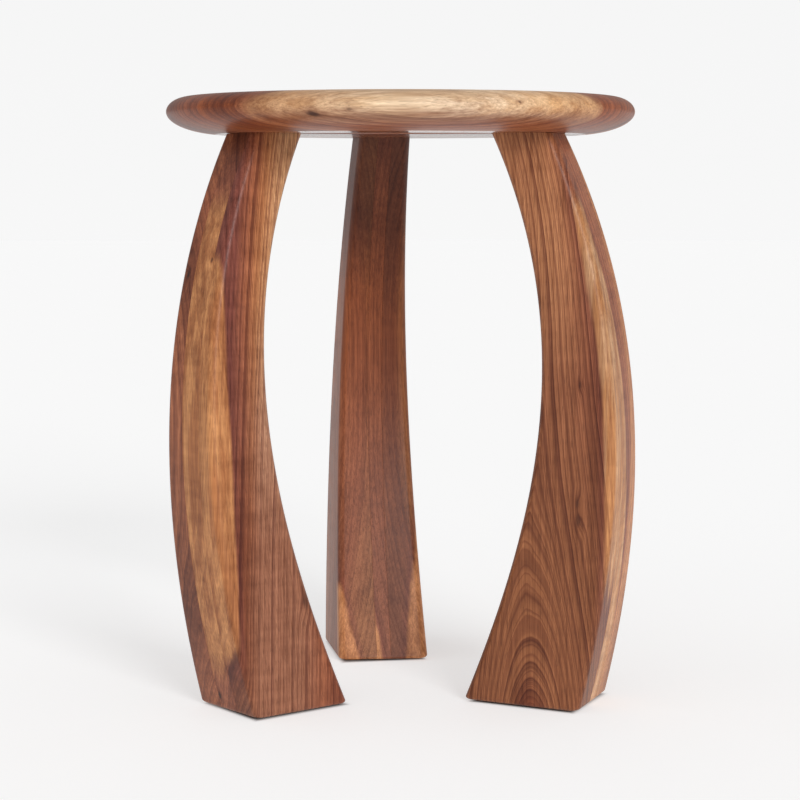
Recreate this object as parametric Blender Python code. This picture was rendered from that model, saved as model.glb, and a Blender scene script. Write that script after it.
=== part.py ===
"""Round three-legged walnut stool.

The seat is five boards glued edge to edge. Each leg is three staves glued side by side and sawn to a
bow. Two loose tenons join each leg to the seat, and a felt pad is stuck under each foot.
Metres, +Z up. The origin is on the floor, at the middle of the stool's overall box.
"""
import math

import bmesh
import bpy
from mathutils import Vector

# Clearances between neighbouring solids
GAP = 0.0003
END_GAP = 0.0005

# Seat
SEAT_RADIUS = 0.204
SEAT_THICKNESS = 0.0324
SEAT_RIM_SHARE = 0.60        # height of the widest ring above the underside, as a share of the thickness
SEAT_TOP_REACH = 0.020       # width of the round above the rim
SEAT_UNDER_REACH = 0.052     # width of the round below the rim
SEAT_GLUE_LINES = (-0.118, -0.036, 0.030, 0.102)
SEAT_SIDES = 96
SEAT_ROUND_STEPS = 7
SEAT_CENTRE_Y = -0.00705     # the back leg bows out past the rim, so the box's middle is behind the seat's

# Legs: radii are measured from the seat's axis at equal steps of height, foot first
LEG_LENGTH = 0.4858
OUTER_RADIUS = (0.1835, 0.2080, 0.2145, 0.1990, 0.1555)
INNER_RADIUS = (0.0830, 0.1265, 0.1500, 0.1450, 0.1045)
FOOT_HALF_WIDTH = 0.0418
TOP_HALF_WIDTH = 0.0236
OUTER_TURN = -0.062          # rise of the outer face's radius across the leg's width
INNER_TURN = 0.100           # the same for the inner face
EDGE_RADIUS = 0.0070
FOOT_EDGE_RADIUS = 0.0025
EDGE_STEPS = 4
FOOT_EDGE_STEPS = 3
LEG_LEVELS = 20

# Loose tenons
TENON_LENGTH = 0.024
TENON_WIDTH = 0.010
TENON_IN_LEG = 0.028
TENON_IN_SEAT = 0.020
TENON_RADIUS_FROM_AXIS = 0.1345
TENON_OFFSET = 0.012
TENON_ROUND_STEPS = 6

# Felt pads
PAD_RADIUS = 0.024
PAD_THICKNESS = 0.0015
PAD_SIDES = 32

FOOT_Z = PAD_THICKNESS + GAP
LEG_TOP_Z = FOOT_Z + LEG_LENGTH
SEAT_UNDER_Z = LEG_TOP_Z + GAP
SEAT_TOP_Z = SEAT_UNDER_Z + SEAT_THICKNESS

# Each leg: direction from the seat's axis in degrees, sideways lean of its top, and its two glue planes
LEGS = {
    "leg_left": {"azimuth": 217.1, "lean": -0.0179, "glue_planes": (-0.0085, 0.0145)},
    "leg_right": {"azimuth": 334.1, "lean": -0.0179, "glue_planes": (-0.0085, 0.0145)},
    "leg_back": {"azimuth": 100.5, "lean": -0.0054, "glue_planes": (-0.0067, 0.0065)},
}

# Colours and finish
HEARTWOOD = (0.150, 0.062, 0.033)
HEARTWOOD_DARK = (0.100, 0.040, 0.024)
SAPWOOD = (0.420, 0.235, 0.115)
BEECH = (0.560, 0.380, 0.230)
FELT = (0.050, 0.038, 0.030)
OILED_ROUGHNESS = 0.42
RAW_ROUGHNESS = 0.70
FELT_ROUGHNESS = 0.95
SMOOTH_BELOW = math.radians(30)


def clear_scene():
    for old in list(bpy.data.objects):
        bpy.data.objects.remove(old, do_unlink=True)


def finish_material(name, colour, roughness):
    material = bpy.data.materials.new(name)
    material.use_nodes = True
    shader = material.node_tree.nodes["Principled BSDF"]
    shader.inputs["Base Color"].default_value = (*colour, 1.0)
    shader.inputs["Roughness"].default_value = roughness
    shader.inputs["Metallic"].default_value = 0.0
    return material


def add_object(name, bm, location=(0.0, 0.0, 0.0), turn=0.0):
    bmesh.ops.recalc_face_normals(bm, faces=bm.faces)
    mesh = bpy.data.meshes.new(name)
    bm.to_mesh(mesh)
    bm.free()
    mesh.shade_smooth()
    mesh.set_sharp_from_angle(angle=SMOOTH_BELOW)
    piece = bpy.data.objects.new(name, mesh)
    piece.location = location
    piece.rotation_euler = (0.0, 0.0, turn)
    bpy.context.collection.objects.link(piece)
    return piece


def bridge_rings(bm, rings):
    """Skins a stack of point loops and closes both ends."""
    loops = [[bm.verts.new(point) for point in ring] for ring in rings]
    count = len(loops[0])
    for lower, upper in zip(loops, loops[1:]):
        for i in range(count):
            j = (i + 1) % count
            bm.faces.new((lower[i], lower[j], upper[j], upper[i]))
    bm.faces.new(loops[0][::-1])
    bm.faces.new(loops[-1])


# ---------------------------------------------------------------- seat

def seat_profile():
    """Radius and height of the seat's turned edge, from the flat underside round to the flat top."""
    rim_z = SEAT_UNDER_Z + SEAT_RIM_SHARE * SEAT_THICKNESS
    under_centre = SEAT_RADIUS - SEAT_UNDER_REACH
    top_centre = SEAT_RADIUS - SEAT_TOP_REACH
    profile = []
    for step in range(SEAT_ROUND_STEPS + 1):
        angle = math.pi / 2 * step / SEAT_ROUND_STEPS
        radius = under_centre + SEAT_UNDER_REACH * math.sin(angle)
        height = rim_z - (rim_z - SEAT_UNDER_Z) * math.cos(angle)
        profile.append((radius, height))
    for step in range(1, SEAT_ROUND_STEPS + 1):
        angle = math.pi / 2 * step / SEAT_ROUND_STEPS
        radius = top_centre + SEAT_TOP_REACH * math.cos(angle)
        height = rim_z + (SEAT_TOP_Z - rim_z) * math.sin(angle)
        profile.append((radius, height))
    return profile


def seat_disc():
    bm = bmesh.new()
    rings = []
    for radius, height in seat_profile():
        ring = []
        for side in range(SEAT_SIDES):
            angle = 2 * math.pi * side / SEAT_SIDES
            ring.append((radius * math.cos(angle), radius * math.sin(angle), height))
        rings.append(ring)
    bridge_rings(bm, rings)
    return bm


def cut_away(bm, y, keep_above):
    """Removes the disc's part beyond the plane at y and closes the cut."""
    outward = -1.0 if keep_above else 1.0
    geometry = bm.verts[:] + bm.edges[:] + bm.faces[:]
    bmesh.ops.bisect_plane(bm, geom=geometry, plane_co=(0, y, 0), plane_no=(0, outward, 0), clear_outer=True)
    rim = [edge for edge in bm.edges if edge.is_boundary]
    bmesh.ops.holes_fill(bm, edges=rim, sides=0)


def make_seat_boards():
    names = ("seat_board_front", "seat_board_front_mid", "seat_board_middle", "seat_board_back_mid",
             "seat_board_back")
    colours = (SAPWOOD, HEARTWOOD, HEARTWOOD_DARK, HEARTWOOD, HEARTWOOD_DARK)
    starts = (None, *SEAT_GLUE_LINES)
    ends = (*SEAT_GLUE_LINES, None)
    boards = []
    for name, colour, start, end in zip(names, colours, starts, ends):
        bm = seat_disc()
        if start is not None:
            cut_away(bm, start + GAP / 2, keep_above=True)
        if end is not None:
            cut_away(bm, end - GAP / 2, keep_above=False)
        board = add_object(name, bm, location=(0.0, SEAT_CENTRE_Y, 0.0))
        board.data.materials.append(finish_material(name + "_walnut", colour, OILED_ROUGHNESS))
        boards.append((board, start, end))
    return boards


# ---------------------------------------------------------------- legs

def smooth_through(values, share):
    """Value at a share from 0 to 1 of the smooth curve through equally spaced values."""
    last = len(values) - 1
    total = 0.0
    for i, value in enumerate(values):
        weight = 1.0
        for j in range(len(values)):
            if j != i:
                weight *= (share * last - j) / (i - j)
        total += value * weight
    return total


def rounded_corner(before, corner, after, radius):
    """Points of the arc that replaces a corner of an outline."""
    to_before = (before - corner).normalized()
    to_after = (after - corner).normalized()
    half_angle = to_before.angle(to_after) / 2
    centre = corner + (to_before + to_after).normalized() * radius / math.sin(half_angle)
    start = (corner + to_before * radius / math.tan(half_angle) - centre).normalized()
    end = (corner + to_after * radius / math.tan(half_angle) - centre).normalized()
    return [centre + start.slerp(end, step / EDGE_STEPS) * radius for step in range(EDGE_STEPS + 1)]


def stave_outline(share, inset, low, high):
    """One stave's outline at a height: x runs across the leg and y runs away from the seat's axis.

    low and high are the stave's glue planes; None is the leg's own side. inset draws the leg's own
    faces in, for the small round at the foot.
    """
    half = FOOT_HALF_WIDTH + (TOP_HALF_WIDTH - FOOT_HALF_WIDTH) * share - inset
    outer = smooth_through(OUTER_RADIUS, share) - inset
    inner = smooth_through(INNER_RADIUS, share) + inset
    left = -half if low is None else low + GAP / 2
    right = half if high is None else high - GAP / 2
    corners = [
        Vector((left, inner + INNER_TURN * left, 0)),
        Vector((left, outer + OUTER_TURN * left, 0)),
        Vector((right, outer + OUTER_TURN * right, 0)),
        Vector((right, inner + INNER_TURN * right, 0)),
    ]
    is_round = (low is None, low is None, high is None, high is None)
    outline = []
    for i, corner in enumerate(corners):
        if is_round[i]:
            outline += rounded_corner(corners[i - 1], corner, corners[(i + 1) % 4], EDGE_RADIUS)
        else:
            outline.append(corner)
    return outline


def leg_levels():
    """Height above the foot and inset of the leg's faces there."""
    levels = []
    for step in range(FOOT_EDGE_STEPS + 1):
        angle = math.pi / 2 * step / FOOT_EDGE_STEPS
        height = FOOT_EDGE_RADIUS * (1 - math.cos(angle))
        inset = FOOT_EDGE_RADIUS * (1 - math.sin(angle))
        levels.append((height, inset))
    for step in range(1, LEG_LEVELS + 1):
        levels.append((LEG_LENGTH * step / LEG_LEVELS, 0.0))
    return levels


def make_stave(name, leg, low, high, colour):
    bm = bmesh.new()
    rings = []
    for height, inset in leg_levels():
        share = height / LEG_LENGTH
        outline = stave_outline(share, inset, low, high)
        lean = leg["lean"] * share
        # The leg's own frame has +X pointing away from the seat's axis and +Y to its left side
        rings.append([(point.y, point.x + lean, FOOT_Z + height) for point in outline])
    bridge_rings(bm, rings)
    stave = add_object(name, bm, (0.0, SEAT_CENTRE_Y, 0.0), math.radians(leg["azimuth"]))
    stave.data.materials.append(finish_material(name + "_walnut", colour, OILED_ROUGHNESS))
    return stave


def slot_prism(length, width, bottom, top, centre):
    """An upright bar with half-round ends, long side pointing away from the seat's axis."""
    bm = bmesh.new()
    radius = width / 2
    outline = []
    for sign in (1, -1):
        for step in range(TENON_ROUND_STEPS + 1):
            angle = sign * math.pi / 2 * (2 * step / TENON_ROUND_STEPS - 1)
            x = sign * (length / 2 - radius + radius * math.cos(angle))
            outline.append((centre.x + x, centre.y + radius * math.sin(angle)))
    bridge_rings(bm, [[(x, y, z) for x, y in outline] for z in (bottom, top)])
    return bm


def make_tenon(name, leg, side, owners, boards):
    """A loose tenon, and its mortise in every piece that it passes through."""
    centre = Vector((TENON_RADIUS_FROM_AXIS, leg["lean"] + side * TENON_OFFSET))
    bottom = LEG_TOP_Z - TENON_IN_LEG
    top = SEAT_UNDER_Z + TENON_IN_SEAT
    place = (0.0, SEAT_CENTRE_Y, 0.0)
    turn = math.radians(leg["azimuth"])
    tenon = add_object(name, slot_prism(TENON_LENGTH, TENON_WIDTH, bottom, top, centre), place, turn)
    tenon.data.materials.append(finish_material(name + "_beech", BEECH, RAW_ROUGHNESS))
    slot = slot_prism(TENON_LENGTH + 2 * GAP, TENON_WIDTH + 2 * GAP, bottom - END_GAP, top + END_GAP, centre)
    mortise = add_object(name + "_mortise", slot, place, turn)
    mortise.hide_render = True
    mortise.display_type = "WIRE"
    centre_y = centre.x * math.sin(turn) + centre.y * math.cos(turn)
    board = next(piece for piece, start, end in boards if spans(start, end, centre_y))
    for owner in (*owners, board):
        cut = owner.modifiers.new(name + "_mortise", "BOOLEAN")
        cut.operation = "DIFFERENCE"
        cut.solver = "EXACT"
        cut.object = mortise


def spans(start, end, value):
    above = start is None or value > start
    below = end is None or value < end
    return above and below


def make_pad(name, leg):
    """A felt disc in the middle of the foot."""
    middle = (OUTER_RADIUS[0] + INNER_RADIUS[0]) / 2
    bm = bmesh.new()
    rings = []
    for z in (0.0, PAD_THICKNESS):
        angles = [2 * math.pi * side / PAD_SIDES for side in range(PAD_SIDES)]
        rings.append([(middle + PAD_RADIUS * math.cos(a), PAD_RADIUS * math.sin(a), z) for a in angles])
    bridge_rings(bm, rings)
    pad = add_object(name, bm, (0.0, SEAT_CENTRE_Y, 0.0), math.radians(leg["azimuth"]))
    pad.data.materials.append(finish_material(name + "_felt", FELT, FELT_ROUGHNESS))


def make_leg(name, leg, boards):
    """Stave a is on the leg's clockwise side seen from above, b is the core and c is the other side."""
    first, second = leg["glue_planes"]
    stave_a = make_stave(name + "_stave_a", leg, None, first, HEARTWOOD_DARK)
    stave_b = make_stave(name + "_stave_b", leg, first, second, SAPWOOD)
    stave_c = make_stave(name + "_stave_c", leg, second, None, HEARTWOOD)
    make_tenon(name + "_tenon_a", leg, -1, touched((stave_a, stave_b), first, -TENON_OFFSET), boards)
    make_tenon(name + "_tenon_c", leg, 1, touched((stave_c, stave_b), second, TENON_OFFSET), boards)
    make_pad(name + "_pad", leg)


def touched(staves, glue_plane, tenon_centre):
    """The outer stave always holds the tenon; the core does too where the mortise crosses the glue plane."""
    crosses = abs(glue_plane - tenon_centre) < TENON_WIDTH / 2 + GAP
    return staves if crosses else staves[:1]


clear_scene()
seat_boards = make_seat_boards()
for leg_name, leg_sizes in LEGS.items():
    make_leg(leg_name, leg_sizes, seat_boards)
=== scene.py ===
import math

import bmesh
import bpy
from mathutils import Matrix, Vector


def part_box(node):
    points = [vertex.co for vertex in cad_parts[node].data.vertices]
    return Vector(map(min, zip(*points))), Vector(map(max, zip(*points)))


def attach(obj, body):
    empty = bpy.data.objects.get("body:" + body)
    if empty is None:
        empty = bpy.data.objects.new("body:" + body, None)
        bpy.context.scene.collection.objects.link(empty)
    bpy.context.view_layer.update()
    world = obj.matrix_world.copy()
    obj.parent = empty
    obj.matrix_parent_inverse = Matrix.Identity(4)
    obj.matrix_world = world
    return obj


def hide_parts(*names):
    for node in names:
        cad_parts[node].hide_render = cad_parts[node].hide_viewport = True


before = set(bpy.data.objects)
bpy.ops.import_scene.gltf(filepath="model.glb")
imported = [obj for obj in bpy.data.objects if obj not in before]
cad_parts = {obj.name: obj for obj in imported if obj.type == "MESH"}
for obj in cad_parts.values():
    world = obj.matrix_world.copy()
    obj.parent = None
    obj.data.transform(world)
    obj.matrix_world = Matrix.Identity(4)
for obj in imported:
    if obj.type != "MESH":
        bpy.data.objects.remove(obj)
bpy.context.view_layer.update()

HAIRLINE = 0.00005           # gap between glued neighbours
SMOOTH_BELOW = math.radians(30)

# Seat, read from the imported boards
SEAT_BOARDS = ("seat_board_front", "seat_board_front_mid", "seat_board_middle", "seat_board_back_mid",
               "seat_board_back")
SEAT_LOW_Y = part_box(SEAT_BOARDS[0])[0].y
SEAT_HIGH_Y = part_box(SEAT_BOARDS[-1])[1].y
SEAT_RADIUS = (SEAT_HIGH_Y - SEAT_LOW_Y) / 2
SEAT_CENTRE_Y = (SEAT_HIGH_Y + SEAT_LOW_Y) / 2
SEAT_UNDER_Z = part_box(SEAT_BOARDS[2])[0].z
SEAT_TOP_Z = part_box(SEAT_BOARDS[2])[1].z
SEAT_RIM_SHARE = 0.60
SEAT_TOP_REACH = 0.020
SEAT_UNDER_REACH = 0.052
SEAT_SIDES = 384
SEAT_ROUND_STEPS = 18

# Legs: radii from the seat's axis at equal steps of height, foot first
FOOT_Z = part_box("leg_left_stave_b")[0].z
LEG_TOP_Z = SEAT_UNDER_Z - HAIRLINE
LEG_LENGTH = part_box("leg_left_stave_b")[1].z - FOOT_Z
OUTER_RADIUS = (0.1835, 0.2080, 0.2145, 0.1990, 0.1555)
INNER_RADIUS = (0.0830, 0.1265, 0.1500, 0.1450, 0.1045)
FOOT_HALF_WIDTH = 0.0418
TOP_HALF_WIDTH = 0.0236
OUTER_TURN = -0.062
INNER_TURN = 0.100
EDGE_RADIUS = 0.0070
FOOT_EDGE_RADIUS = 0.0028
GLUE_EDGE = 0.00012          # chamfer where a glue line comes to the surface
EDGE_STEPS = 10
FOOT_EDGE_STEPS = 6
LEG_LEVELS = 120
LEGS = {
    "leg_left": {"azimuth": 217.1, "lean": -0.0179, "glue_planes": (-0.0085, 0.0145)},
    "leg_right": {"azimuth": 334.1, "lean": -0.0179, "glue_planes": (-0.0085, 0.0145)},
    "leg_back": {"azimuth": 100.5, "lean": -0.0054, "glue_planes": (-0.0067, 0.0065)},
}

# Mortises round the loose tenons
MORTISE_LENGTH = 0.0246
MORTISE_WIDTH = 0.0106
MORTISE_IN_LEG = 0.0285
MORTISE_IN_SEAT = 0.0205
TENON_RADIUS_FROM_AXIS = 0.1345
TENON_OFFSET = 0.012
MORTISE_ROUND_STEPS = 8


# ---------------------------------------------------------------- mesh tools

def new_piece(name, bm, turn=0.0):
    """Makes an object of a mesh that was built round the seat's axis, turned about that axis."""
    bmesh.ops.recalc_face_normals(bm, faces=bm.faces)
    bm.transform(Matrix.Translation((0.0, SEAT_CENTRE_Y, 0.0)) @ Matrix.Rotation(turn, 4, "Z"))
    mesh = bpy.data.meshes.new(name)
    bm.to_mesh(mesh)
    bm.free()
    mesh.shade_smooth()
    mesh.set_sharp_from_angle(angle=SMOOTH_BELOW)
    piece = bpy.data.objects.new(name, mesh)
    bpy.context.scene.collection.objects.link(piece)
    return piece


def bridge_rings(bm, rings):
    """Skins a stack of point loops and closes both ends."""
    loops = [[bm.verts.new(point) for point in ring] for ring in rings]
    count = len(loops[0])
    for lower, upper in zip(loops, loops[1:]):
        for i in range(count):
            j = (i + 1) % count
            bm.faces.new((lower[i], lower[j], upper[j], upper[i]))
    bm.faces.new(loops[0][::-1])
    bm.faces.new(loops[-1])


def smooth_through(values, share):
    """Value at a share from 0 to 1 of the smooth curve through equally spaced values."""
    last = len(values) - 1
    total = 0.0
    for i, value in enumerate(values):
        weight = 1.0
        for j in range(len(values)):
            if j != i:
                weight *= (share * last - j) / (i - j)
        total += value * weight
    return total


# ---------------------------------------------------------------- seat

def seat_profile():
    """Radius and height of the seat's turned edge, from the flat underside round to the flat top."""
    rim_z = SEAT_UNDER_Z + SEAT_RIM_SHARE * (SEAT_TOP_Z - SEAT_UNDER_Z)
    profile = []
    for step in range(SEAT_ROUND_STEPS + 1):
        angle = math.pi / 2 * step / SEAT_ROUND_STEPS
        radius = SEAT_RADIUS - SEAT_UNDER_REACH * (1 - math.sin(angle))
        profile.append((radius, rim_z - (rim_z - SEAT_UNDER_Z) * math.cos(angle)))
    for step in range(1, SEAT_ROUND_STEPS + 1):
        angle = math.pi / 2 * step / SEAT_ROUND_STEPS
        radius = SEAT_RADIUS - SEAT_TOP_REACH * (1 - math.cos(angle))
        profile.append((radius, rim_z + (SEAT_TOP_Z - rim_z) * math.sin(angle)))
    return profile


def seat_disc():
    bm = bmesh.new()
    angles = [2 * math.pi * side / SEAT_SIDES for side in range(SEAT_SIDES)]
    rings = []
    for radius, z in seat_profile():
        rings.append([(radius * math.cos(angle), radius * math.sin(angle), z) for angle in angles])
    bridge_rings(bm, rings)
    return bm


def cut_away(bm, y, keep_above):
    """Keeps the part of the seat on one side of a plane across Y and closes the cut."""
    outward = (0.0, -1.0 if keep_above else 1.0, 0.0)
    geometry = bm.verts[:] + bm.edges[:] + bm.faces[:]
    bmesh.ops.bisect_plane(bm, geom=geometry, plane_co=(0.0, y, 0.0), plane_no=outward, clear_outer=True)
    bmesh.ops.holes_fill(bm, edges=[edge for edge in bm.edges if edge.is_boundary], sides=0)


def make_seat():
    """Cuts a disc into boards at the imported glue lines; gives each board and the lines beside it."""
    lines = []
    for front, behind in zip(SEAT_BOARDS, SEAT_BOARDS[1:]):
        middle = (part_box(front)[1].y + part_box(behind)[0].y) / 2
        lines.append(middle - SEAT_CENTRE_Y)
    boards = {}
    for name, start, end in zip(SEAT_BOARDS, [None, *lines], [*lines, None]):
        bm = seat_disc()
        if start is not None:
            cut_away(bm, start + HAIRLINE / 2, keep_above=True)
        if end is not None:
            cut_away(bm, end - HAIRLINE / 2, keep_above=False)
        board = new_piece(name + "_wood", bm)
        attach(board, "root")
        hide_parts(name)
        boards[name] = (board, start, end)
    return boards


# ---------------------------------------------------------------- legs

def rounded_corner(before, corner, after, radius, steps):
    """Points of the arc that rounds a corner between two straight sides."""
    to_before = (before - corner).normalized()
    to_after = (after - corner).normalized()
    half_angle = to_before.angle(to_after) / 2
    centre = corner + (to_before + to_after).normalized() * radius / math.sin(half_angle)
    start = (corner + to_before * radius / math.tan(half_angle) - centre).normalized()
    end = (corner + to_after * radius / math.tan(half_angle) - centre).normalized()
    return [centre + start.slerp(end, step / steps) * radius for step in range(steps + 1)]


def stave_outline(share, inset, low, high):
    """One stave's outline at a height: x runs across the leg and y runs away from the seat's axis."""
    half = FOOT_HALF_WIDTH + (TOP_HALF_WIDTH - FOOT_HALF_WIDTH) * share - inset
    outer = smooth_through(OUTER_RADIUS, share) - inset
    inner = smooth_through(INNER_RADIUS, share) + inset
    left = -half if low is None else low + HAIRLINE / 2
    right = half if high is None else high - HAIRLINE / 2
    corners = [
        Vector((left, inner + INNER_TURN * left, 0)),
        Vector((left, outer + OUTER_TURN * left, 0)),
        Vector((right, outer + OUTER_TURN * right, 0)),
        Vector((right, inner + INNER_TURN * right, 0)),
    ]
    is_round = (low is None, low is None, high is None, high is None)
    outline = []
    for i, corner in enumerate(corners):
        radius = EDGE_RADIUS if is_round[i] else GLUE_EDGE
        steps = EDGE_STEPS if is_round[i] else 1
        outline += rounded_corner(corners[i - 1], corner, corners[(i + 1) % 4], radius, steps)
    return outline


def leg_levels():
    """Height above the foot and inset of the leg's faces there."""
    levels = []
    for step in range(FOOT_EDGE_STEPS + 1):
        angle = math.pi / 2 * step / FOOT_EDGE_STEPS
        levels.append((FOOT_EDGE_RADIUS * (1 - math.cos(angle)), FOOT_EDGE_RADIUS * (1 - math.sin(angle))))
    levels += [(LEG_LENGTH * step / LEG_LEVELS, 0.0) for step in range(1, LEG_LEVELS)]
    levels.append((LEG_TOP_Z - FOOT_Z, 0.0))
    return levels


def make_stave(name, leg, low, high):
    bm = bmesh.new()
    rings = []
    for height, inset in leg_levels():
        share = height / LEG_LENGTH
        outline = stave_outline(share, inset, low, high)
        # The leg's own frame has +X pointing away from the seat's axis and +Y to its left side
        rings.append([(point.y, point.x + leg["lean"] * share, FOOT_Z + height) for point in outline])
    bridge_rings(bm, rings)
    stave = new_piece(name + "_wood", bm, math.radians(leg["azimuth"]))
    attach(stave, "root")
    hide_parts(name)
    return stave


def cut_mortises(boards, staves):
    """Sinks the mortises round the tenons, each in the wood that it passes through."""
    for leg_name, leg in LEGS.items():
        turn = math.radians(leg["azimuth"])
        first, second = leg["glue_planes"]
        for suffix, side, glue_plane in (("a", -1, first), ("c", 1, second)):
            offset = side * TENON_OFFSET
            cutter = mortise_cutter(TENON_RADIUS_FROM_AXIS, leg["lean"] + offset, turn)
            owners = [staves[f"{leg_name}_stave_{suffix}"]]
            if abs(glue_plane - offset) < MORTISE_WIDTH / 2:
                owners.append(staves[leg_name + "_stave_b"])
            centre_y = TENON_RADIUS_FROM_AXIS * math.sin(turn) + (leg["lean"] + offset) * math.cos(turn)
            for board, start, end in boards.values():
                if (start is None or centre_y > start) and (end is None or centre_y < end):
                    owners.append(board)
            for owner in owners:
                subtract(owner, cutter)
            bpy.data.objects.remove(cutter, do_unlink=True)


def mortise_cutter(centre_x, centre_y, turn):
    """A bar with round ends that fills both mortises round one tenon."""
    bm = bmesh.new()
    radius = MORTISE_WIDTH / 2
    outline = []
    for sign in (1, -1):
        for step in range(MORTISE_ROUND_STEPS + 1):
            angle = sign * math.pi / 2 * (2 * step / MORTISE_ROUND_STEPS - 1)
            x = sign * (MORTISE_LENGTH / 2 - radius + radius * math.cos(angle))
            outline.append((centre_x + x, centre_y + radius * math.sin(angle)))
    heights = (LEG_TOP_Z - MORTISE_IN_LEG, SEAT_UNDER_Z + MORTISE_IN_SEAT)
    bridge_rings(bm, [[(x, y, z) for x, y in outline] for z in heights])
    return new_piece("mortise_cutter", bm, turn)


def subtract(piece, cutter):
    """Cuts one object's shape out of another's mesh."""
    cut = piece.modifiers.new("mortise", "BOOLEAN")
    cut.operation = "DIFFERENCE"
    cut.solver = "EXACT"
    cut.object = cutter
    depsgraph = bpy.context.evaluated_depsgraph_get()
    cut_mesh = bpy.data.meshes.new_from_object(piece.evaluated_get(depsgraph))
    piece.modifiers.remove(cut)
    old = piece.data
    piece.data = cut_mesh
    bpy.data.meshes.remove(old)


def make_legs():
    """Makes the three staves of each leg: a, the core b, and c."""
    staves = {}
    for leg_name, leg in LEGS.items():
        first, second = leg["glue_planes"]
        for suffix, low, high in (("a", None, first), ("b", first, second), ("c", second, None)):
            name = f"{leg_name}_stave_{suffix}"
            staves[name] = make_stave(name, leg, low, high)
    return staves


# ---------------------------------------------------------------- felt pads

PAD_STEPS = 6
PAD_SIDES = 96
PAD_EDGE = 0.0005


def make_pad(leg_name, leg):
    """A felt disc with a soft, slightly uneven edge."""
    name = leg_name + "_pad"
    low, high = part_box(name)
    radius = (high.x - low.x) / 2
    top = FOOT_Z - HAIRLINE
    middle = (OUTER_RADIUS[0] + INNER_RADIUS[0]) / 2
    bm = bmesh.new()
    rings = []
    for bottom_half in (True, False):
        for step in range(PAD_STEPS + 1):
            angle = math.pi / 2 * step / PAD_STEPS
            rise = PAD_EDGE * (1 - (math.cos(angle) if bottom_half else math.sin(angle)))
            inset = PAD_EDGE * (1 - (math.sin(angle) if bottom_half else math.cos(angle)))
            z = rise if bottom_half else top - rise
            ring = []
            for side in range(PAD_SIDES):
                a = 2 * math.pi * side / PAD_SIDES
                uneven = 0.00015 * (math.sin(7 * a + leg["azimuth"]) + math.sin(17 * a))
                r = radius - 0.0003 - inset + uneven
                ring.append((middle + r * math.cos(a), r * math.sin(a), z))
            rings.append(ring)
    bridge_rings(bm, rings)
    pad = new_piece(name + "_felt", bm, math.radians(leg["azimuth"]))
    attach(pad, "root")
    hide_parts(name)
    return pad


# ---------------------------------------------------------------- material tools

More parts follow.
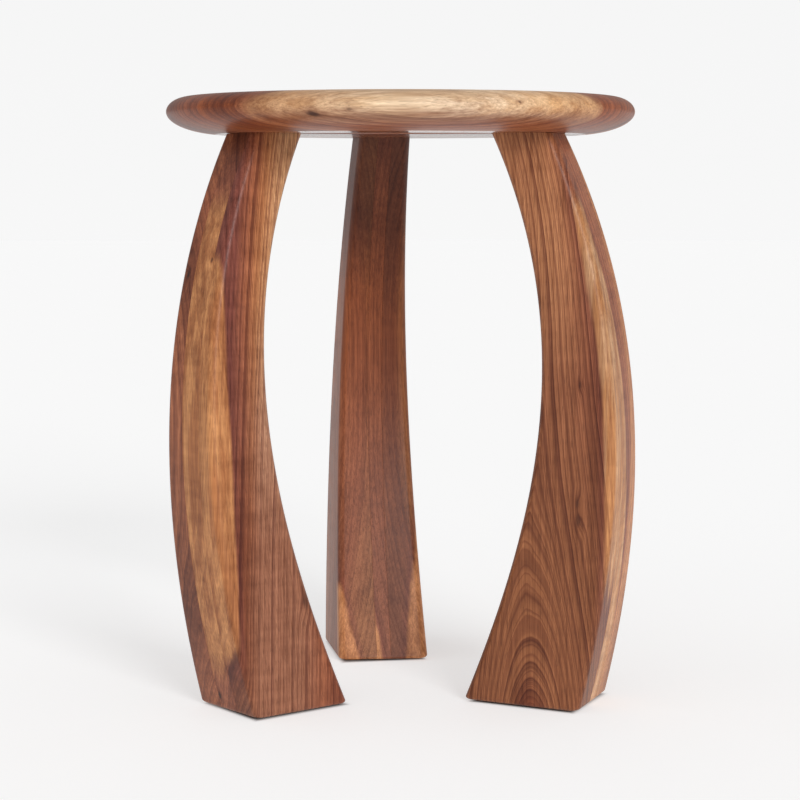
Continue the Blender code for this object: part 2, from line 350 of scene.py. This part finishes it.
class Nodes:
    """Short calls that add nodes. add and noise give the node, and the others the socket of its result."""

    def __init__(self, owner):
        self.tree = owner.node_tree

    def feed(self, socket, value):
        """Links a socket's value in, or sets a plain value."""
        if isinstance(value, bpy.types.NodeSocket):
            self.tree.links.new(value, socket)
        elif socket.type == "RGBA":
            socket.default_value = (*value, 1.0)
        else:
            socket.default_value = value

    def add(self, kind, inputs, **settings):
        node = self.tree.nodes.new(kind)
        for key, value in settings.items():
            setattr(node, key, value)
        for key, value in inputs.items():
            self.feed(node.inputs[key], value)
        return node

    def math(self, operation, *values):
        return self.add("ShaderNodeMath", dict(enumerate(values)), operation=operation).outputs[0]

    def fold(self, operation, values):
        """Joins any number of values by one operation, two at a time."""
        total = values[0]
        for value in values[1:]:
            total = self.math(operation, total, value)
        return total

    def sum(self, *values):
        return self.fold("ADD", values)

    def scale(self, value, factor, offset=0.0):
        return self.math("MULTIPLY_ADD", value, factor, offset)

    def step(self, value, low, high, start=0.0, end=1.0):
        """Smooth step of value from low to high, giving start to end."""
        inputs = {"Value": value, "From Min": low, "From Max": high, "To Min": start, "To Max": end}
        return self.add("ShaderNodeMapRange", inputs, interpolation_type="SMOOTHSTEP").outputs["Result"]

    def vector(self, x, y, z):
        return self.add("ShaderNodeCombineXYZ", {0: x, 1: y, 2: z}).outputs[0]

    def vector_math(self, operation, *values):
        return self.add("ShaderNodeVectorMath", dict(enumerate(values)), operation=operation).outputs

    def stretched(self, point, scales, shift=0.0):
        """The place scaled along each axis, and shifted so that each board has its own pattern."""
        return self.vector_math("MULTIPLY_ADD", point, scales, (shift, shift * 0.7, shift * 1.3))[0]

    def from_axis(self, azimuth):
        """Place from the seat's axis, in parts: along an azimuth in degrees, to its left, and up."""
        point = self.add("ShaderNodeTexCoord", {}).outputs["Object"]
        centred = self.vector_math("SUBTRACT", point, (0.0, SEAT_CENTRE_Y, 0.0))[0]
        inputs = {"Vector": centred, "Angle": -math.radians(azimuth)}
        own = self.add("ShaderNodeVectorRotate", inputs, rotation_type="Z_AXIS").outputs[0]
        return self.add("ShaderNodeSeparateXYZ", {0: own}).outputs

    def noise(self, vector, detail=2.0, roughness=0.5, distortion=0.0):
        inputs = {"Vector": vector, "Scale": 1.0, "Detail": detail, "Roughness": roughness,
                  "Distortion": distortion}
        return self.add("ShaderNodeTexNoise", inputs)

    def noise_parts(self, vector, detail=2.0):
        """Three noises in one."""
        noise = self.noise(vector, detail)
        return self.add("ShaderNodeSeparateColor", {0: noise.outputs[1]}).outputs

    def noise_1d(self, w, detail=2.0):
        inputs = {"W": w, "Scale": 1.0, "Detail": detail}
        return self.add("ShaderNodeTexNoise", inputs, noise_dimensions="1D").outputs[0]

    def mix(self, factor, first, second, kind="MIX"):
        node = self.add("ShaderNodeMix", {}, data_type="RGBA", blend_type=kind)
        self.feed(node.inputs[0], factor)
        self.feed(node.inputs[6], first)
        self.feed(node.inputs[7], second)
        return node.outputs[2]

    def times(self, colour, other):
        return self.mix(1.0, colour, other, "MULTIPLY")

    def ramp(self, value, stops):
        """Colour at a value through given stops, the value mapped so that the stops fill 0 to 1."""
        low, high = stops[0][0], stops[-1][0]
        inputs = {"Value": value, "From Min": low, "From Max": high}
        share = self.add("ShaderNodeMapRange", inputs).outputs["Result"]
        node = self.add("ShaderNodeValToRGB", {"Fac": share})
        elements = node.color_ramp.elements
        while len(elements) < len(stops):
            elements.new(0.5)
        for element, (place, colour) in zip(elements, stops):
            element.position = (place - low) / (high - low)
        for element, (place, colour) in zip(elements, stops):
            element.color = (*colour, 1.0)
        return node.outputs[0]

    def bump(self, height, strength, distance):
        inputs = {"Height": height, "Strength": strength, "Distance": distance}
        return self.add("ShaderNodeBump", inputs).outputs[0]


def new_material(name):
    material = bpy.data.materials.new(name)
    material.use_nodes = True
    return material, Nodes(material), material.node_tree.nodes["Principled BSDF"]


# ---------------------------------------------------------------- walnut

# Colours through the log, linear
TAN = (0.500, 0.205, 0.085)
GOLDEN_BROWN = (0.380, 0.142, 0.052)
REDDISH = (0.335, 0.107, 0.046)
MILK = (0.345, 0.118, 0.050)
CHOCOLATE = (0.200, 0.058, 0.026)
PURPLE = (0.185, 0.050, 0.032)
SAP = (0.320, 0.112, 0.038)
SAP_LIGHT = (0.450, 0.186, 0.068)
SAP_TAN = (0.540, 0.275, 0.130)
SAP_CREAM = (0.570, 0.365, 0.215)
SAP_PALE = (0.680, 0.480, 0.315)
KNOT_HEART = (0.040, 0.014, 0.010)
OPEN_PORE = (0.055, 0.018, 0.012)

# These multiply the colour between the ring lines, in them, in the finer lines and round a knot
BETWEEN_LINES = (1.16, 1.22, 1.26)
RING_LINE = (0.48, 0.36, 0.40)
FINE_LINE = (0.60, 0.50, 0.52)
KNOT_HALO = (0.50, 0.36, 0.32)

# Patterns: cycles per metre along the fibres and twice across them
SWEEPS = (2.2, 11.0, 11.0)
WAVES = (13.0, 60.0, 60.0)
STREAKS = (9.0, 620.0, 620.0)
FIBRES = (22.0, 1150.0, 1150.0)
BROAD_BANDS = (4.0, 55.0, 55.0)
SHIMMER = (95.0, 26.0, 26.0)
PORES = (75.0, 1500.0, 1500.0)
SAP_PATCHES = (7.0, 105.0, 105.0)
SWEEP_REACH = 0.016          # how far the sweeps and the waves carry the fibres
WAVE_REACH = 0.0032
BLUR_REACH = 0.008           # how far they carry the sapwood's edge
KNOT_LENGTH = 0.42           # a knot's cross size as a share of its size along the grain
SEED_STEP = 7.31

SEAT_COAT = 0.16
SEAT_SMOOTH_HEIGHT = 0.0004  # the seat's flat underside, and nothing above it

WALNUT_DEFAULTS = {
    "azimuth": 0.0,            # direction of the board's own X axis, in degrees
    "grain": "z",              # the axis that the fibres follow
    "pith": (0.0, 0.0),        # where the log's centre passes, across the grain, at along = 0
    "drift": (0.0, 0.0),       # how the centre moves across per metre along
    "bend": (0.0, 0.0),        # and per metre squared
    "ring": 0.0055,
    "tones": ((0.0, REDDISH), (0.2, REDDISH)),
    "sap": (),                 # sapwood where all of a*u + b*v + c*along + d*along^2 + e are above zero
    "sap_tones": (SAP, SAP_LIGHT),
    "sap_edge": 0.0022,        # half the width of the change from heartwood to sapwood
    "sap_line": 0.45,          # strength of the ring lines in the sapwood
    "coat": 0.10,
    "smooth_below": None,      # height under which the wood was left planed smooth
    "tint_and_painted_shade": (),                # multiplies the heartwood's colour, by the place along: the wood's own tone, and painted shade from the seat near the top of a leg
    "sap_tint": (),            # the same for the sapwood
    "line": 1.0,               # strength of the dark ring lines
    "curl": 0.5,               # strength of the cross-grain shimmer
    "wander": 1.0,             # how far the fibres stray
    "seed": 1.0,
    "knots": (),               # (along, across, across, radius, strength)
}


def ring_distance(n, spec, places, sweeps, waves):
    """Distance from the log's centre, which drifts and bends along the board; its fibres wander."""
    along = places[0]
    sweep_reach = SWEEP_REACH * spec["wander"]
    wave_reach = WAVE_REACH * spec["wander"]
    squares = []
    for i in (0, 1):
        pith = n.scale(along, spec["drift"][i], spec["pith"][i])
        if spec["bend"][i]:
            pith = n.sum(pith, n.scale(n.math("MULTIPLY", along, along), spec["bend"][i]))
        across = n.sum(n.math("SUBTRACT", places[i + 1], pith),
                       n.scale(sweeps[i], sweep_reach, -sweep_reach / 2),
                       n.scale(waves[i], wave_reach, -wave_reach / 2))
        squares.append(n.math("MULTIPLY", across, across))
    return n.math("SQRT", n.sum(*squares))


def knot_marks(n, spec, point):
    """How far each knot pushes the rings aside, and the strength of the knots' hearts and halos."""
    pushes, hearts, halos = [], [], []
    for along, u, v, radius, strength in spec["knots"]:
        reach = n.vector_math("SUBTRACT", point, (along, u, v))[0]
        near = n.vector_math("MULTIPLY", reach, (KNOT_LENGTH / radius, 1 / radius, 1 / radius))[0]
        radii = n.vector_math("LENGTH", near)["Value"]
        pushes.append(n.step(radii, 0.0, 3.4, radius * 1.15, 0.0))
        hearts.append(n.step(radii, 0.3, 1.2, strength, 0.0))
        halos.append(n.step(radii, 0.5, 2.6, strength * 0.8, 0.0))
    return pushes, n.fold("MAXIMUM", hearts), n.fold("MAXIMUM", halos)


def ring_lines(n, spec, distance, seed):
    """Strength of the dark line that ends each ring, unevenly spaced, and of the finer lines between."""
    count = n.scale(distance, 1 / spec["ring"], seed)
    count = n.sum(count, n.scale(n.noise_1d(n.scale(count, 0.37, seed)), 1.9))
    place = n.math("FRACT", count)
    ring_number = n.math("FLOOR", count)
    luck = n.add("ShaderNodeTexWhiteNoise", {"W": ring_number}, noise_dimensions="1D").outputs[0]
    line = n.math("SUBTRACT", n.step(place, 0.30, 0.90), n.step(place, 0.90, 1.0))
    line = n.math("MULTIPLY", line, n.scale(luck, 0.55, 0.45))
    fine_count = n.sum(n.scale(count, 3.3), n.scale(n.noise_1d(n.scale(count, 2.1, 5.0)), 1.6))
    fine_place = n.math("FRACT", fine_count)
    fine_line = n.math("SUBTRACT", n.step(fine_place, 0.2, 0.8), n.step(fine_place, 0.8, 1.0))
    return line, fine_line


def sapwood(n, spec, places, point, sweep, broad, seed):
    """Depth inside the sapwood, negative in the heartwood, and the sapwood's colour."""
    along, u, v = places
    bounds = []
    for by_u, by_v, by_along, by_square, start in spec["sap"]:
        square = n.math("MULTIPLY", along, along)
        bounds.append(n.sum(n.scale(u, by_u, start), n.scale(v, by_v), n.scale(along, by_along),
                            n.scale(square, by_square)))
    depth = n.sum(n.fold("MINIMUM", bounds), n.scale(sweep, BLUR_REACH, -BLUR_REACH / 2),
                  n.scale(broad, BLUR_REACH, -BLUR_REACH / 2))
    patch = n.noise(n.stretched(point, SAP_PATCHES, seed + 1.0), 2.0).outputs[0]
    colour = n.mix(n.step(patch, 0.40, 0.62), *spec["sap_tones"])
    if spec["sap_tint"]:
        colour = n.times(colour, n.ramp(along, spec["sap_tint"]))
    return depth, colour


def walnut(name, **settings):
    """Walnut of one board: rings, sapwood, knots, fibres and pores at its own place in a log."""
    spec = {**WALNUT_DEFAULTS, **settings}
    material, n, shader = new_material(name)
    seed = spec["seed"] * SEED_STEP
    x, y, z = n.from_axis(spec["azimuth"])
    along, u, v = (z, x, y) if spec["grain"] == "z" else (x, y, z)
    places = (along, u, v)
    point = n.vector(along, u, v)

    sweeps = n.noise_parts(n.stretched(point, SWEEPS, seed))
    waves = n.noise_parts(n.stretched(point, WAVES, seed + 3.0), 3.0)
    distance = ring_distance(n, spec, places, sweeps, waves)
    if spec["knots"]:
        pushes, knot_heart, knot_halo = knot_marks(n, spec, point)
        distance = n.sum(distance, *pushes)
    line, fine_line = ring_lines(n, spec, distance, seed)

    streak = n.noise(n.stretched(point, STREAKS, seed), 4.0, 0.62).outputs[0]
    fibre = n.noise(n.stretched(point, FIBRES, seed + 4.0), 2.0, 0.6).outputs[0]
    broad = n.noise(n.stretched(point, BROAD_BANDS, seed + 9.0), 3.0, 0.6).outputs[0]
    curl = n.noise(n.stretched(point, SHIMMER, seed + 5.0), 2.0, 0.55).outputs[0]
    pore_field = n.noise(n.stretched(point, PORES, seed + 2.0), 1.0, 0.5).outputs[0]
    pore = n.step(n.sum(pore_field, n.scale(fine_line, -0.05)), 0.57, 0.68)

    # Heartwood by the ring, then the sapwood with a purple edge beside it
    colour = n.ramp(n.sum(distance, n.scale(broad, 0.012, -0.006)), spec["tones"])
    # The tint along the board is the wood's own tone, with painted shade from the seat near the tops of
    # the legs
    if spec["tint_and_painted_shade"]:
        colour = n.times(colour, n.ramp(along, spec["tint_and_painted_shade"]))
    in_sap = 0.0
    if spec["sap"]:
        depth, sap_colour = sapwood(n, spec, places, point, sweeps[2], broad, seed)
        in_sap = n.step(depth, -spec["sap_edge"], spec["sap_edge"])
        colour = n.mix(n.step(depth, -0.008, -0.001, 0.0, 0.45), colour, PURPLE)
        colour = n.mix(in_sap, colour, sap_colour)

    # Ring lines, fainter in the sapwood
    strength = n.math("MULTIPLY", n.step(in_sap, 0.0, 1.0, 1.0, spec["sap_line"]), spec["line"])
    dark = n.math("MULTIPLY", line, n.scale(strength, 0.82))
    colour = n.mix(dark, n.times(colour, BETWEEN_LINES), n.times(colour, RING_LINE))
    dark = n.math("MULTIPLY", fine_line, n.scale(strength, 0.68))
    colour = n.mix(dark, colour, n.times(colour, FINE_LINE))

    # Light and dark along the fibres, then pores and knots
    light = n.sum(n.scale(streak, 1.5, -0.75), n.scale(fibre, 0.6, -0.3), n.scale(broad, 1.1, -0.55),
                  n.scale(curl, 0.8 * spec["curl"], -0.4 * spec["curl"]))
    shade = n.vector(*[n.scale(light, factor, 1.0) for factor in (0.85, 1.05, 1.15)])
    colour = n.times(colour, shade)
    pore_strength = n.step(in_sap, 0.0, 1.0, 0.40, 0.28)
    colour = n.mix(n.math("MULTIPLY", pore, pore_strength), colour, OPEN_PORE)
    if spec["knots"]:
        colour = n.mix(knot_halo, colour, n.times(colour, KNOT_HALO))
        colour = n.mix(knot_heart, colour, KNOT_HEART)
    n.feed(shader.inputs["Base Color"], colour)

    gloss = n.sum(n.scale(streak, 0.16, 0.34), n.scale(pore, 0.12), n.scale(fine_line, -0.03))
    smooth_below = spec["smooth_below"]
    if smooth_below is not None:
        gloss = n.math("MULTIPLY", gloss, n.step(v, smooth_below - 0.0001, smooth_below, 0.25, 1.0))
    n.feed(shader.inputs["Roughness"], gloss)
    height = n.sum(n.scale(pore, -1.0), n.scale(streak, 0.45), n.scale(line, 0.25))
    n.feed(shader.inputs["Normal"], n.bump(height, 0.35, 0.00012))
    shader.inputs["IOR"].default_value = 1.45
    shader.inputs["Specular IOR Level"].default_value = 0.22
    shader.inputs["Coat Weight"].default_value = spec["coat"]
    shader.inputs["Coat Roughness"].default_value = 0.32
    shader.inputs["Coat IOR"].default_value = 1.45
    return material


# Each board has its own place in a log
LEG_WALNUT = {
    "leg_left_stave_a": {
        "seed": 1, "pith": (0.085, 0.010), "ring": 0.0056, "curl": 1.0,
        "tones": ((0.07, CHOCOLATE), (0.09, MILK), (0.105, REDDISH), (0.12, CHOCOLATE), (0.13, REDDISH)),
        "tint_and_painted_shade": ((0.05, (0.90, 0.90, 0.90)), (0.20, (0.84, 0.84, 0.84)), (0.33, (1.0, 1.0, 1.0)),
                 (0.43, (0.86, 0.80, 0.78))),
        "knots": ((0.370, 0.199, -0.031, 0.0018, 1.0),)},
    "leg_left_stave_b": {
        "seed": 2, "pith": (0.060, 0.060), "ring": 0.0056, "curl": 1.2,
        "tones": ((0.05, MILK), (0.10, REDDISH), (0.125, CHOCOLATE), (0.14, MILK)),
        "sap": ((0.0, 0.0, -0.12, 0.0, 0.0505), (0.0, 0.0, 0.12, 0.0, -0.0035)),
        "tint_and_painted_shade": ((0.30, (1.0, 1.0, 1.0)), (0.44, (0.86, 0.80, 0.76))),
        "knots": ((0.383, 0.194, -0.002, 0.0013, 0.8), (0.014, 0.187, -0.0066, 0.0020, 1.0))},
    "leg_left_stave_c": {
        "seed": 3, "pith": (0.034, 0.065), "drift": (-0.037, 0.0), "bend": (-0.10, 0.0), "ring": 0.0048,
        "curl": 0.9, "wander": 0.6,
        "tones": ((0.05, REDDISH), (0.085, TAN), (0.105, SAP_TAN), (0.147, SAP_TAN), (0.160, GOLDEN_BROWN),
                  (0.170, REDDISH), (0.182, PURPLE)),
        "tint_and_painted_shade": ((0.02, (0.49, 0.37, 0.40)), (0.15, (0.52, 0.40, 0.44)), (0.25, (0.71, 0.67, 0.80)),
                 (0.36, (1.0, 1.0, 1.0))),
        "sap": ((1.0, 0.0, 0.0, 0.0, -0.1930), (0.0, 0.0, -0.12, 0.0, 0.0505),
                (0.0, 0.0, 0.16, 0.0, -0.006)),
        "knots": ((0.0955, 0.1270, 0.0350, 0.0038, 0.55),)},
    "leg_right_stave_a": {
        "seed": 4, "pith": (0.145, -0.0598), "drift": (0.0, -0.28), "bend": (-0.30, 0.65), "ring": 0.0044,
        "wander": 0.6, "line": 1.1,
        "tones": ((0.0, REDDISH), (0.019, REDDISH), (0.026, TAN), (0.05, TAN), (0.07, TAN), (0.09, MILK)),
        "sap": ((1.0, 0.0, -0.151, 0.444, -0.1957), (0.0, -1.0, -0.112, 0.0, 0.018),
                (0.0, 0.0, -0.15, 0.0, 0.064)),
        "sap_tones": (SAP_LIGHT, SAP_TAN),
        "tint_and_painted_shade": ((0.0, (0.50, 0.42, 0.40)), (0.12, (0.50, 0.42, 0.40)), (0.28, (0.58, 0.50, 0.52)),
                 (0.38, (0.88, 0.88, 0.90))),
        "sap_tint": ((0.20, (1.0, 1.0, 1.0)), (0.34, (0.80, 0.80, 0.82))),
        "knots": ((0.2795, 0.186, -0.0418, 0.0016, 0.55), (0.166, 0.1852, -0.0420, 0.0028, 0.50),
                  (0.180, 0.1842, -0.0420, 0.0022, 0.45))},
    "leg_right_stave_b": {
        "seed": 5, "pith": (0.190, 0.118), "drift": (0.0, -0.075), "ring": 0.0050, "curl": 1.0,
        "tones": ((0.07, REDDISH), (0.090, MILK), (0.11, REDDISH)),
        "sap": ((0.0, -1.0, -0.112, 0.0, 0.018), (0.0, 0.0, -0.15, 0.0, 0.064)),
        "sap_tones": (SAP_LIGHT, SAP_TAN)},
    "leg_right_stave_c": {
        "seed": 6, "pith": (0.190, 0.118), "ring": 0.0050,
        "tones": ((0.03, TAN), (0.07, GOLDEN_BROWN), (0.10, TAN), (0.15, GOLDEN_BROWN))},
    # The back leg's tints darken towards the top: painted shade under the seat, over the wood's own tone
    "leg_back_stave_a": {
        "seed": 7, "pith": (0.170, -0.120), "ring": 0.0050, "wander": 0.8, "line": 0.6,
        "tones": ((0.06, TAN), (0.095, TAN), (0.101, REDDISH), (0.13, MILK)),
        "sap": ((0.0, -1.0, -0.158, 0.0, -0.0183), (-1.0, 0.0, 0.42, 0.0, 0.097)),
        "sap_tones": (GOLDEN_BROWN, TAN),
        "tint_and_painted_shade": ((0.0, (0.57, 0.56, 0.64)), (0.30, (0.52, 0.41, 0.33)), (0.46, (0.31, 0.26, 0.27)))},
    "leg_back_stave_b": {
        "seed": 8, "pith": (0.160, -0.150), "ring": 0.0060, "wander": 0.8, "line": 0.6,
        "tones": ((0.06, REDDISH), (0.10, MILK), (0.14, REDDISH)),
        "sap": ((0.0, 1.0, -0.16, 0.0, -0.0015),), "sap_tones": (TAN, SAP_LIGHT),
        "tint_and_painted_shade": ((0.0, (0.70, 0.72, 0.84)), (0.34, (0.72, 0.60, 0.46)), (0.48, (0.41, 0.34, 0.34)))},
    "leg_back_stave_c": {
        "seed": 9, "pith": (0.190, 0.125), "ring": 0.0052, "wander": 0.8, "line": 0.6,
        "tones": ((0.08, TAN), (0.092, MILK), (0.12, REDDISH), (0.14, GOLDEN_BROWN)),
        "sap": ((0.0, 1.0, -0.209, 0.0, -0.0234), (-1.0, 0.0, 0.42, 0.0, 0.097)),
        "sap_tones": (GOLDEN_BROWN, TAN),
        "tint_and_painted_shade": ((0.0, (0.70, 0.72, 0.84)), (0.34, (0.72, 0.58, 0.45)), (0.42, (0.35, 0.29, 0.29)))},
}
SEAT_MIDDLE_Z = (SEAT_UNDER_Z + SEAT_TOP_Z) / 2
SEAT_WALNUT = {
    "seat_board_front": {
        "seed": 11, "pith": (-0.055, SEAT_MIDDLE_Z - 0.012), "drift": (0.12, 0.0), "bend": (0.4, 0.0),
        "ring": 0.0098, "curl": 0.1, "wander": 0.7,
        "tones": ((0.02, REDDISH), (0.06, MILK), (0.08, CHOCOLATE), (0.10, MILK), (0.115, REDDISH)),
        "sap": ((-1.0, 0.0, 0.11, 0.75, -0.1590), (0.0, 0.8, 0.0, 0.0, -0.8 * (SEAT_UNDER_Z + 0.0125))),
        "sap_tones": (SAP_CREAM, SAP_PALE), "sap_edge": 0.008, "sap_line": 0.09,
        "tint_and_painted_shade": ((-0.17, (0.76, 0.50, 0.28)), (-0.09, (0.90, 0.76, 0.60)), (-0.02, (1.0, 1.0, 1.0)),
                 (0.12, (1.0, 0.9, 0.8)), (0.19, (0.72, 0.46, 0.22))),
        "sap_tint": ((-0.13, (0.56, 0.36, 0.24)), (-0.08, (0.72, 0.56, 0.44)), (-0.01, (0.98, 0.96, 0.92)),
                     (0.06, (1.0, 1.0, 1.0)), (0.12, (0.86, 0.70, 0.54)), (0.17, (0.66, 0.46, 0.32))),
        "knots": ((-0.069, -0.1886, 0.5006, 0.0032, 0.85), (-0.040, -0.1992, 0.5042, 0.0014, 0.5),
                  (0.0945, -0.1802, 0.5103, 0.0010, 0.7))},
    "seat_board_front_mid": {
        "seed": 12, "pith": (-0.040, SEAT_MIDDLE_Z - 0.020), "drift": (0.02, 0.0), "ring": 0.0080,
        "tones": ((0.01, CHOCOLATE), (0.04, MILK), (0.07, REDDISH), (0.09, MILK)),
        "tint_and_painted_shade": ((-0.20, (0.70, 0.54, 0.50)), (0.0, (1.0, 1.0, 1.0)), (0.20, (0.80, 0.66, 0.56)))},
    "seat_board_middle": {
        "seed": 13, "pith": (0.010, SEAT_MIDDLE_Z - 0.060), "drift": (0.01, -0.12), "ring": 0.0058,
        "tones": ((0.02, REDDISH), (0.05, CHOCOLATE), (0.08, MILK))},
    "seat_board_back_mid": {
        "seed": 14, "pith": (0.075, SEAT_MIDDLE_Z - 0.045), "drift": (-0.02, 0.08), "ring": 0.0055,
        "tones": ((0.01, MILK), (0.05, REDDISH), (0.08, CHOCOLATE))},
    "seat_board_back": {
        "seed": 15, "pith": (0.080, SEAT_MIDDLE_Z - 0.030), "ring": 0.0068,
        "tones": ((0.02, REDDISH), (0.06, MILK), (0.09, REDDISH), (0.12, PURPLE))},
}


# ---------------------------------------------------------------- beech and felt

def beech():
    """Raw planed beech of the loose tenons, which are hidden in the joints."""
    material, n, shader = new_material("tenon_beech_wood")
    point = n.add("ShaderNodeTexCoord", {}).outputs["Object"]
    fibre = n.noise(n.stretched(point, (900.0, 900.0, 30.0)), 3.0, 0.6).outputs[0]
    fleck = n.step(n.noise(n.stretched(point, (1400.0, 1400.0, 260.0)), 1.0).outputs[0], 0.60, 0.68)
    colour = n.mix(fibre, (0.46, 0.27, 0.14), (0.66, 0.44, 0.27))
    n.feed(shader.inputs["Base Color"], n.mix(n.scale(fleck, 0.5), colour, (0.30, 0.15, 0.07)))
    n.feed(shader.inputs["Roughness"], n.scale(fibre, 0.2, 0.55))
    n.feed(shader.inputs["Normal"], n.bump(fibre, 0.3, 0.0001))
    return material


def felt():
    """Dark pressed wool felt."""
    material, n, shader = new_material("pad_wool_felt")
    point = n.add("ShaderNodeTexCoord", {}).outputs["Object"]
    fuzz = n.noise(n.stretched(point, (2200.0, 2200.0, 2200.0)), 4.0, 0.7, 1.5).outputs[0]
    n.feed(shader.inputs["Base Color"], n.mix(fuzz, (0.020, 0.016, 0.015), (0.085, 0.072, 0.066)))
    shader.inputs["Roughness"].default_value = 0.95
    shader.inputs["Sheen Weight"].default_value = 0.4
    n.feed(shader.inputs["Normal"], n.bump(fuzz, 0.8, 0.0003))
    return material


# ---------------------------------------------------------------- stage, light and camera

FLOOR_RADIUS = 14.0
FLOOR_SIDES = 96
FLOOR_Z = -0.0002            # clear of the pads' own faces
FLOOR_ALBEDO = 0.57
FLOOR_MOTTLE = 1.012         # the paler patches against the rest
FLOOR_GLOW = 0.520           # a studio floor lit to near white; it lifts the shadows
PAINTED_SHADOW_INSIDE = -0.007         # painted contact shadow: the glow fades away under each foot, from just past the foot's sides
PAINTED_SHADOW_OUTSIDE = 0.001
WORLD_LIGHT = 0.46
FAR_FLOOR_SEEN = 0.930       # the background meets the far floor at the same brightness
FADE_UPWARD = 0.12
CAMERA_PLACE = (-0.00044, SEAT_CENTRE_Y - 1.8893, 0.4499)
CAMERA_DOWN = 5.90           # degrees below level
CAMERA_LENS = 96.35
CAMERA_SENSOR = 36.0


def make_floor():
    """A wide pale floor that glows a little, with a painted shadow under the feet where the glow is taken
    away.
    """
    bm = bmesh.new()
    ring = []
    for side in range(FLOOR_SIDES):
        angle = 2 * math.pi * side / FLOOR_SIDES
        x = FLOOR_RADIUS * math.cos(angle)
        y = FLOOR_RADIUS * math.sin(angle)
        ring.append(bm.verts.new((x, y, FLOOR_Z)))
    bm.faces.new(ring)
    mesh = bpy.data.meshes.new("studio_floor")
    bm.to_mesh(mesh)
    bm.free()
    floor = bpy.data.objects.new("studio_floor", mesh)
    bpy.context.scene.collection.objects.link(floor)
    mesh.materials.append(floor_material())


def floor_material():
    material, n, shader = new_material("pale_floor")
    shader.inputs["Roughness"].default_value = 0.9
    shader.inputs["Specular IOR Level"].default_value = 0.1
    shader.inputs["Emission Color"].default_value = (1.0, 1.0, 1.0, 1.0)
    point = n.add("ShaderNodeTexCoord", {}).outputs["Object"]
    mottle = n.noise(n.stretched(point, (3.0, 3.0, 3.0)), 2.0).outputs[0]
    pale = [FLOOR_ALBEDO] * 3
    paler = [FLOOR_ALBEDO * FLOOR_MOTTLE] * 3
    n.feed(shader.inputs["Base Color"], n.mix(mottle, pale, paler))
    middle = (OUTER_RADIUS[0] + INNER_RADIUS[0]) / 2
    half_length = (OUTER_RADIUS[0] - INNER_RADIUS[0]) / 2
    glow_with_painted_shadow = FLOOR_GLOW
    # Painted contact shadow: the glow is taken away under each foot and fades back just past its sides
    for leg in LEGS.values():
        outward, sideways = n.from_axis(leg["azimuth"])[:2]
        past_end = n.scale(n.math("ABSOLUTE", n.scale(outward, 1.0, -middle)), 1.0, -half_length)
        past_side = n.scale(n.math("ABSOLUTE", sideways), 1.0, -FOOT_HALF_WIDTH)
        clear = n.step(n.math("MAXIMUM", past_end, past_side), PAINTED_SHADOW_INSIDE, PAINTED_SHADOW_OUTSIDE)
        glow_with_painted_shadow = n.math("MULTIPLY", clear, glow_with_painted_shadow)
    n.feed(shader.inputs["Emission Strength"], glow_with_painted_shadow)
    return material


def make_world():
    """An even white surround; the camera sees it as bright as the far floor, a little darker upward."""
    world = bpy.data.worlds.new("studio")
    bpy.context.scene.world = world
    world.use_nodes = True
    n = Nodes(world)
    background = world.node_tree.nodes["Background"]
    background.inputs["Color"].default_value = (1.0, 1.0, 1.0, 1.0)
    direction = n.add("ShaderNodeTexCoord", {}).outputs["Generated"]
    height = n.add("ShaderNodeSeparateXYZ", {0: direction}).outputs[2]
    extra = n.scale(height, -FADE_UPWARD, FAR_FLOOR_SEEN - WORLD_LIGHT)
    seen = n.add("ShaderNodeLightPath", {}).outputs["Is Camera Ray"]
    n.feed(background.inputs["Strength"], n.math("MULTIPLY_ADD", seen, extra, WORLD_LIGHT))


def make_sun(name, strength, angle, aim):
    """A broad, even light that shines along aim."""
    data = bpy.data.lights.new(name, "SUN")
    data.energy = strength
    data.angle = math.radians(angle)
    lamp = bpy.data.objects.new(name, data)
    lamp.rotation_euler = Vector(aim).to_track_quat("-Z", "Y").to_euler()
    bpy.context.scene.collection.objects.link(lamp)


def make_camera():
    data = bpy.data.cameras.new("camera")
    data.sensor_width = CAMERA_SENSOR
    data.lens = CAMERA_LENS
    camera = bpy.data.objects.new("camera", data)
    camera.location = CAMERA_PLACE
    camera.rotation_euler = (math.radians(90 - CAMERA_DOWN), 0.0, 0.0)
    bpy.context.scene.collection.objects.link(camera)
    bpy.context.scene.camera = camera


# ---------------------------------------------------------------- the scene

make_camera()
seat_boards = make_seat()
leg_staves = make_legs()
cut_mortises(seat_boards, leg_staves)
for leg_name, leg in LEGS.items():
    make_pad(leg_name, leg).data.materials.append(felt())
    for suffix in ("a", "c"):
        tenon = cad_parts[f"{leg_name}_tenon_{suffix}"]
        tenon.data.materials.clear()
        tenon.data.materials.append(beech())
for name, settings in LEG_WALNUT.items():
    leg = LEGS[name.rsplit("_stave", 1)[0]]
    wood = walnut(name + "_walnut", azimuth=leg["azimuth"], **settings)
    leg_staves[name].data.materials.append(wood)
for name, settings in SEAT_WALNUT.items():
    smooth_below = SEAT_UNDER_Z + SEAT_SMOOTH_HEIGHT
    wood = walnut(name + "_walnut", grain="x", coat=SEAT_COAT, smooth_below=smooth_below, **settings)
    seat_boards[name][0].data.materials.append(wood)
make_floor()
make_world()
make_sun("key", 1.75, 22.0, (-0.41, 0.91, -0.40))
make_sun("fill", 0.25, 80.0, (0.6, 0.5, -0.9))
bpy.context.scene.view_settings.view_transform = "Standard"
